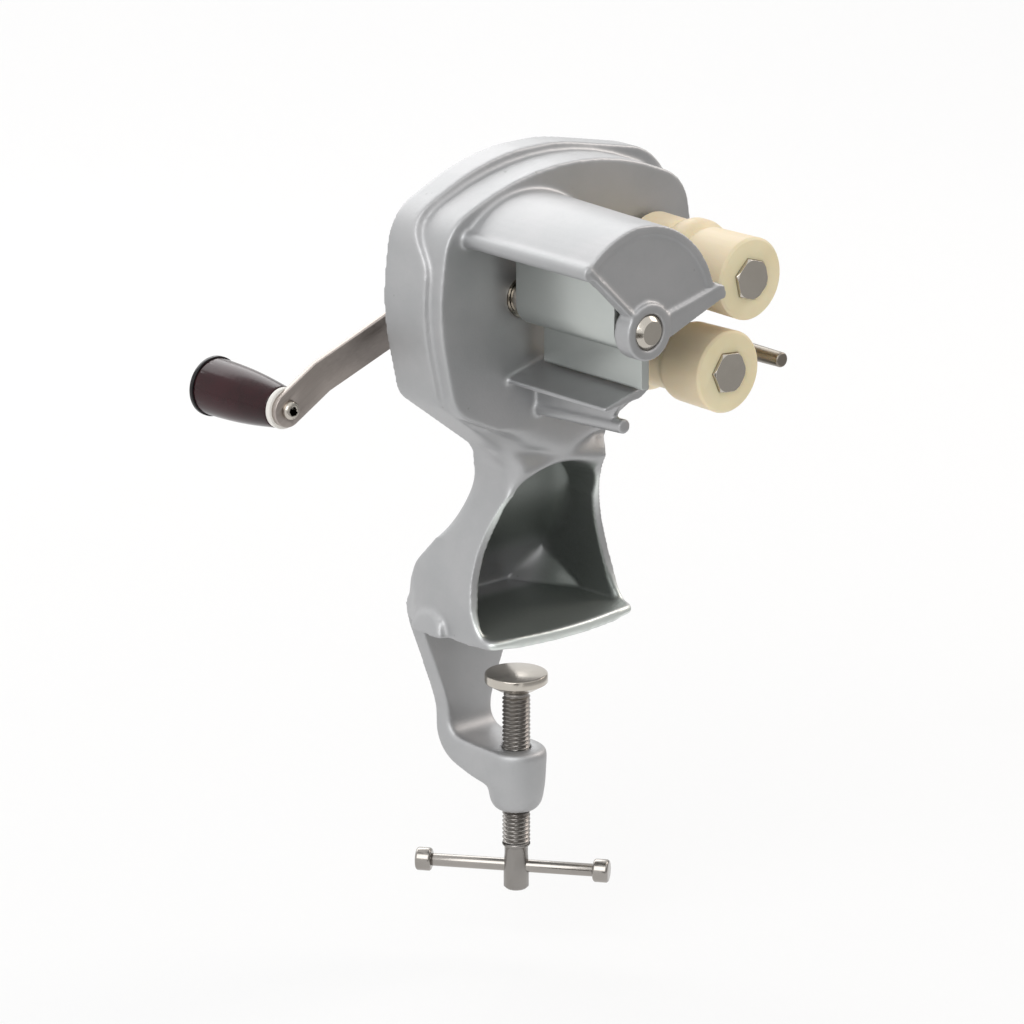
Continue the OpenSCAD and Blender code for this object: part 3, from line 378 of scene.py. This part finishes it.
# Bushes and gears: sintered bronze bushes pressed into the case, and hobbed brass gears.
def bronze_metal():
    finish = Finish("bronze")
    turned = finish.noise(700, 2, 0.5, stretch=(1, 0.05, 1))
    colour = finish.mixed(turned, (0.55, 0.4, 0.2), (0.68, 0.5, 0.28))
    return finish.surface(base_color=colour, metallic=1.0, roughness=0.26 + turned * 0.14)


bronze = bronze_metal()
for node in ("upper_bush", "lower_bush", "cover_bushes", "idler_gear", "upper_gear", "lower_gear"):
    paint(node, bronze)


# Shafts, pins, nuts and bolts: bright drawn steel, turned and polished.
def bright_steel(name, dark, light, rough, streak):
    finish = Finish(name)
    drawn = finish.noise(1400, 3, 0.55, stretch=streak)
    smudges = finish.noise(70, 3, 0.6)
    colour = finish.mixed(smudges, dark, light)
    normal = finish.bump(drawn, 0.006 * mm)
    return finish.surface(
        base_color=colour, metallic=1.0, roughness=rough + drawn * 0.1 + smudges * 0.06, normal=normal
    )


along_y, along_z, even = (1, 0.06, 1), (1, 1, 0.06), (1, 1, 1)
steel = bright_steel("polished_steel", (0.47, 0.435, 0.385), (0.59, 0.555, 0.5), 0.12, along_y)
rod_steel = bright_steel("dark_drawn_steel", (0.22, 0.195, 0.165), (0.32, 0.29, 0.25), 0.24, along_y)
for node in ("idler_pin", "cutter_pinion", "cutter_bush", "cutter_spacer"):
    paint(node, steel)
small_edge = 0.25 * mm
for node, body in (
    ("cutter_shaft", "crank"),
    ("upper_shaft", "upper_drive"),
    ("lower_shaft", "lower_drive"),
    ("crank_nut", "crank"),
    ("grip_bolt", "crank"),
    ("swivel_pad", "pad"),
):
    eased(node, small_edge, steel, "steel", body)
eased("guide_rod", small_edge, rod_steel, "rod_steel", "frame_body")


# Cutter: an aluminium extrusion, two blades that leave the hub on opposite sides, cut to length.
def extruded_metal():
    finish = Finish("extruded_aluminium")
    lines = finish.noise(1800, 3, 0.6, stretch=(1, 0.015, 1))
    clouds = finish.noise(60, 3, 0.6)
    colour = finish.mixed(clouds, (0.47, 0.5, 0.48), (0.55, 0.57, 0.55))
    normal = finish.bump(lines, 0.01 * mm)
    return finish.surface(base_color=colour, metallic=0.95, roughness=0.36 + lines * 0.12, normal=normal)


eased("cutter", 0.35 * mm, extruded_metal(), "cutter_metal", "crank")


# Rollers: turned from ivory coloured plastic, with fine turning marks. They slip on and off
# their hexagonal shafts, so that a set with another shape can be fitted.
def ivory_plastic():
    finish = Finish("ivory_plastic")
    turning = finish.noise(1500, 2, 0.5, stretch=(0.08, 1, 0.08))
    clouds = finish.noise(40, 3, 0.6)
    colour = finish.mixed(clouds.between(0.3, 0.7), (0.81, 0.71, 0.46), (0.87, 0.78, 0.53))
    # Painted warm light: the turned side is given a warmer, pinker colour than the faced ends have.
    along = finish.add("ShaderNodeTexCoord")["Normal"]
    along = finish.add("ShaderNodeSeparateXYZ", {}, {"Vector": along})["Y"]
    colour = finish.mixed((1 - along * along) * 0.6, colour, (0.89, 0.73, 0.53))
    normal = finish.bump(turning, 0.006 * mm)
    return finish.surface(
        base_color=colour,
        roughness=0.42 + turning * 0.1,
        normal=normal,
        subsurface_weight=0.25,
        subsurface_radius=(1, 0.6, 0.3),
        subsurface_scale=2.5 * mm,
    )


ivory = ivory_plastic()
for node, body in (("upper_roller", "upper_roll"), ("lower_roller", "lower_roll")):
    eased(node, 0.3 * mm, ivory, "roller", body)


# Crank arm: flat steel bar, bent twice, with a grained finish along its length.
def grained_steel():
    finish = Finish("grained_steel")
    grain = finish.noise(1600, 3, 0.6, stretch=(0.03, 1, 1), turn=(0, np.radians(30), 0))
    colour = finish.mixed(grain, (0.34, 0.3, 0.275), (0.47, 0.425, 0.395))
    normal = finish.bump(grain, 0.008 * mm)
    return finish.surface(base_color=colour, metallic=1.0, roughness=0.28 + grain * 0.14, normal=normal)


eased("crank_arm", 0.4 * mm, grained_steel(), "brushed_arm", "crank")


# Grip: glossy moulded plastic in a very dark red brown, with a black cap and a white washer.
def glossy_plastic(name, colour, deep):
    finish = Finish(name)
    swirl = finish.noise(35, 4, 0.6)
    shade = finish.mixed(swirl.between(0.35, 0.7), deep, colour)
    dust = finish.noise(800, 2, 0.5)
    return finish.surface(base_color=shade, roughness=0.15 + dust * 0.07, specular_ior_level=0.3)


grip_plastic = glossy_plastic("dark_red_plastic", (0.034, 0.004, 0.007), (0.008, 0.002, 0.002))
black_plastic = glossy_plastic("black_plastic", (0.014, 0.012, 0.013), (0.008, 0.007, 0.008))
eased("grip", 0.3 * mm, grip_plastic, "grip", "grip_body")
eased("grip_cap", 0.3 * mm, black_plastic, "grip_cap", "grip_body")


def washer_plastic():
    finish = Finish("white_plastic")
    clouds = finish.noise(300, 2, 0.5)
    colour = finish.mixed(clouds, (0.82, 0.8, 0.75), (0.87, 0.85, 0.8))
    return finish.surface(base_color=colour, roughness=0.45)


eased("grip_washer", 0.2 * mm, washer_plastic(), "washer", "crank")


# Clamp screw: steel with a rolled thread, turned down at its end for the bar.
thread_pitch = 1.5 * mm
thread_depth = 0.85 * mm
thread_low = -83 * mm
thread_high = -27.2 * mm
thread_run_out = 1.6 * mm
thread_middle = -60 * mm
run_out_share = 0.6
end_overlap = 0.4 * mm
screw_radius = (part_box("clamp_screw")[1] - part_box("clamp_screw")[0]).x / 2


def threaded(name, low, high, radius, around=48, rows_per_turn=8):
    """A right-hand thread on the Z axis. It fades out at both ends, and to a thicker rod at the lower."""
    rows = int((high - low) / thread_pitch * rows_per_turn)
    mesh = bmesh.new()
    rings = []
    for row in range(rows + 1):
        z = low + (high - low) * row / rows
        fade = min(1, (z - low) / thread_run_out, (high - z) / thread_run_out)
        ring = []
        for step in range(around):
            turn = step / around
            wave = abs(((z / thread_pitch - turn) % 1) * 2 - 1)
            crest = min(1, max(0, 1.25 * wave - 0.125))
            filled = run_out_share * (1 - fade) * (z < thread_middle)
            r = radius - thread_depth * (1 - crest * fade - filled)
            angle = 2 * np.pi * turn
            ring.append(mesh.verts.new((r * np.cos(angle), r * np.sin(angle), z)))
        rings.append(ring)
    for lower, upper in zip(rings, rings[1:]):
        for i in range(around):
            j = (i + 1) % around
            mesh.faces.new((lower[i], lower[j], upper[j], upper[i]))
    mesh.faces.new(rings[0][::-1])
    mesh.faces.new(rings[-1])
    data = bpy.data.meshes.new(name)
    mesh.to_mesh(data)
    mesh.free()
    piece = bpy.data.objects.new(name, data)
    bpy.context.scene.collection.objects.link(piece)
    return piece


turned_steel = bright_steel("turned_steel", (0.24, 0.225, 0.21), (0.34, 0.325, 0.31), 0.26, along_z)
thread = threaded("clamp_screw_thread", thread_low, thread_high, screw_radius)
dress(thread, turned_steel, "dark_steel", "screw", sharp=0.9)
screw_end = copy_of("clamp_screw", "clamp_screw_end")
cut = bmesh.new()
cut.from_mesh(screw_end.data)
bmesh.ops.bisect_plane(
    cut,
    geom=cut.verts[:] + cut.edges[:] + cut.faces[:],
    plane_co=(0, 0, thread_low + end_overlap),
    plane_no=(0, 0, 1),
    clear_outer=True,
)
cut.to_mesh(screw_end.data)
cut.free()
dress(screw_end, turned_steel, "dark_steel", "screw", "clamp_screw", sharp=0.5)

# Tommy bar: a polished steel bar that slides through the screw, with a turned knob on each end.
bar_steel = bright_steel("polished_bar_steel", (0.3, 0.28, 0.26), (0.4, 0.38, 0.355), 0.1, even)
for node in ("tommy_bar", "bar_knobs"):
    eased(node, 0.3 * mm, bar_steel, "steel", "bar")

# Floor and backdrop: one pale sweep under the part, which hangs on its clamp, and low enough for
# the screw when it is turned all the way out.
screw_travel = 22 * mm
floor_gap = 1 * mm
floor_z = cad_box[0].z - screw_travel - floor_gap
camera_azimuth = np.radians(-42)
sweep_front = -1.6
sweep_back = 1.6
sweep_height = 1.6
sweep_width = 3.2
sweep_round = 0.5
sweep_steps = 12
profile = [(sweep_front, 0)]
for step in range(sweep_steps + 1):
    angle = np.pi / 2 * step / sweep_steps
    reach = sweep_back - sweep_round + sweep_round * np.sin(angle)
    profile.append((reach, sweep_round - sweep_round * np.cos(angle)))
profile.append((sweep_back, sweep_height))
sweep_mesh = bpy.data.meshes.new("floor")
corners = [(side * sweep_width, y, floor_z + z) for y, z in profile for side in (-1, 1)]
quads = [(2 * i, 2 * i + 1, 2 * i + 3, 2 * i + 2) for i in range(len(profile) - 1)]
sweep_mesh.from_pydata(corners, [], quads)
sweep_mesh.shade_smooth()
sweep = bpy.data.objects.new("floor", sweep_mesh)
bpy.context.scene.collection.objects.link(sweep)
sweep.rotation_euler = (0, 0, camera_azimuth)
paper = Finish("paper")
paper_tone = paper.mixed(paper.noise(6, 2), (0.86, 0.86, 0.86), (0.88, 0.88, 0.875))
sweep_mesh.materials.append(paper.surface(base_color=paper_tone, roughness=0.8))
# Seen straight or in the metal, the paper is most of the way to the white of the room behind it.
lit = paper.add("ShaderNodeEmission", {}, {"Color": (1, 1, 1), "Strength": 1})["Emission"]
rays = paper.add("ShaderNodeLightPath")
room_share = 0.75
seen = (rays["Is Camera Ray"] + rays["Is Glossy Ray"] + rays["Is Transmission Ray"]) * room_share
paper_out = paper.tree.nodes["Material Output"]
bare = Value(paper, paper_out.inputs["Surface"].links[0].from_socket)
both = paper.add("ShaderNodeMixShader", {}, {0: seen, 1: bare, 2: lit})["Shader"]
paper.tree.links.new(both.socket, paper_out.inputs["Surface"])

# Studio light: a pale room, with a dim wall from the front to the right and a narrow dark one to the
# left of it. A large soft lamp stands high on the left, a weaker and warmer one on the right, and one
# behind draws the upper edges.
world = bpy.data.worlds.new("studio")
bpy.context.scene.world = world
world.use_nodes = True
tree = world.node_tree
room = tree.nodes["Background"]
room.inputs["Color"].default_value = (1, 1, 1, 1)
room.inputs["Strength"].default_value = 0.5
backdrop = tree.nodes.new("ShaderNodeBackground")
backdrop.inputs["Color"].default_value = (1, 1, 1, 1)
backdrop.inputs["Strength"].default_value = 1.0
path = tree.nodes.new("ShaderNodeLightPath")
seen = path.outputs["Is Camera Ray"]
for ray in ("Is Glossy Ray", "Is Transmission Ray"):
    either = tree.nodes.new("ShaderNodeMath")
    either.operation = "MAXIMUM"
    tree.links.new(seen, either.inputs[0])
    tree.links.new(path.outputs[ray], either.inputs[1])
    seen = either.outputs[0]
choose = tree.nodes.new("ShaderNodeMixShader")
tree.links.new(seen, choose.inputs[0])
tree.links.new(room.outputs[0], choose.inputs[1])
tree.links.new(backdrop.outputs[0], choose.inputs[2])
tree.links.new(choose.outputs[0], tree.nodes["World Output"].inputs["Surface"])


def studio_wall(name, tone, turn_from, turn_to, profile):
    """A wall of the room, which only gloss shows. The profile is a list of reach and height."""
    steps = 24
    turns = np.radians(np.linspace(turn_from, turn_to, steps + 1))
    spots = [
        (reach * np.cos(turn), reach * np.sin(turn), floor_z + height)
        for turn in turns
        for reach, height in profile
    ]
    rows = len(profile)
    faces = [
        (i * rows + k, (i + 1) * rows + k, (i + 1) * rows + k + 1, i * rows + k + 1)
        for i in range(steps)
        for k in range(rows - 1)
    ]
    mesh = bpy.data.meshes.new(name)
    mesh.from_pydata(spots, [], faces)
    wall = bpy.data.objects.new(name, mesh)
    bpy.context.scene.collection.objects.link(wall)
    glow = Finish(name)
    mesh.materials.append(
        glow.surface(base_color=(0, 0, 0), specular_ior_level=0, emission_color=tone, emission_strength=1)
    )
    wall.visible_camera = wall.visible_diffuse = wall.visible_shadow = wall.visible_transmission = False


studio_wall("dim_right", (0.46, 0.455, 0.45), -108, 15, [(0.3, 0.002), (0.6, 0.03), (0.65, 0.45)])
studio_wall("dark_front", (0.1, 0.09, 0.08), -142, -122, [(0.5, 0.002), (0.8, 0.05), (0.82, 0.2)])

aim = Vector((0, 0, 0.06))


def soft_lamp(name, place, size, power, colour=(1, 1, 1)):
    """A rectangular lamp that faces the middle of the part."""
    data = bpy.data.lights.new(name, "AREA")
    data.shape, data.size, data.size_y = "RECTANGLE", size[0], size[1]
    data.energy, data.color = power, colour
    lamp = bpy.data.objects.new(name, data)
    bpy.context.scene.collection.objects.link(lamp)
    lamp.location = place
    lamp.rotation_euler = (aim - Vector(place)).to_track_quat("-Z", "Y").to_euler()


soft_lamp("key_lamp", (-1.1, -0.5, 0.9), (1.1, 1.1), 9)
soft_lamp("side_lamp", (1.2, -0.3, 0.8), (0.6, 0.9), 6, (1, 0.9, 0.83))
soft_lamp("back_lamp", (0.3, 1.15, 0.9), (1.5, 0.8), 9)

# Camera: far away with a long lens, 42 degrees to the left of the front and 17 degrees up.
camera_height = np.radians(17.07)
camera_distance = 2.162
lens = 220.4
sensor = 36
frame_pixels = 1024
origin_pixel = (516.3, 617.0)
pixels_per_metre = lens / sensor * frame_pixels / camera_distance
right = Vector((np.cos(camera_azimuth), np.sin(camera_azimuth), 0))
back = Vector(
    (
        np.sin(camera_azimuth) * np.cos(camera_height),
        -np.cos(camera_azimuth) * np.cos(camera_height),
        np.sin(camera_height),
    )
)
up = back.cross(right)
camera_data = bpy.data.cameras.new("camera")
camera_data.lens, camera_data.sensor_width = lens, sensor
camera_data.clip_end = 20
camera = bpy.data.objects.new("camera", camera_data)
bpy.context.scene.collection.objects.link(camera)
camera.matrix_world = Matrix((right, up, back)).transposed().to_4x4()
camera.location = (
    back * camera_distance
    - right * (origin_pixel[0] - frame_pixels / 2) / pixels_per_metre
    + up * (origin_pixel[1] - frame_pixels / 2) / pixels_per_metre
)
bpy.context.scene.camera = camera
bpy.context.scene.view_settings.view_transform = "Standard"
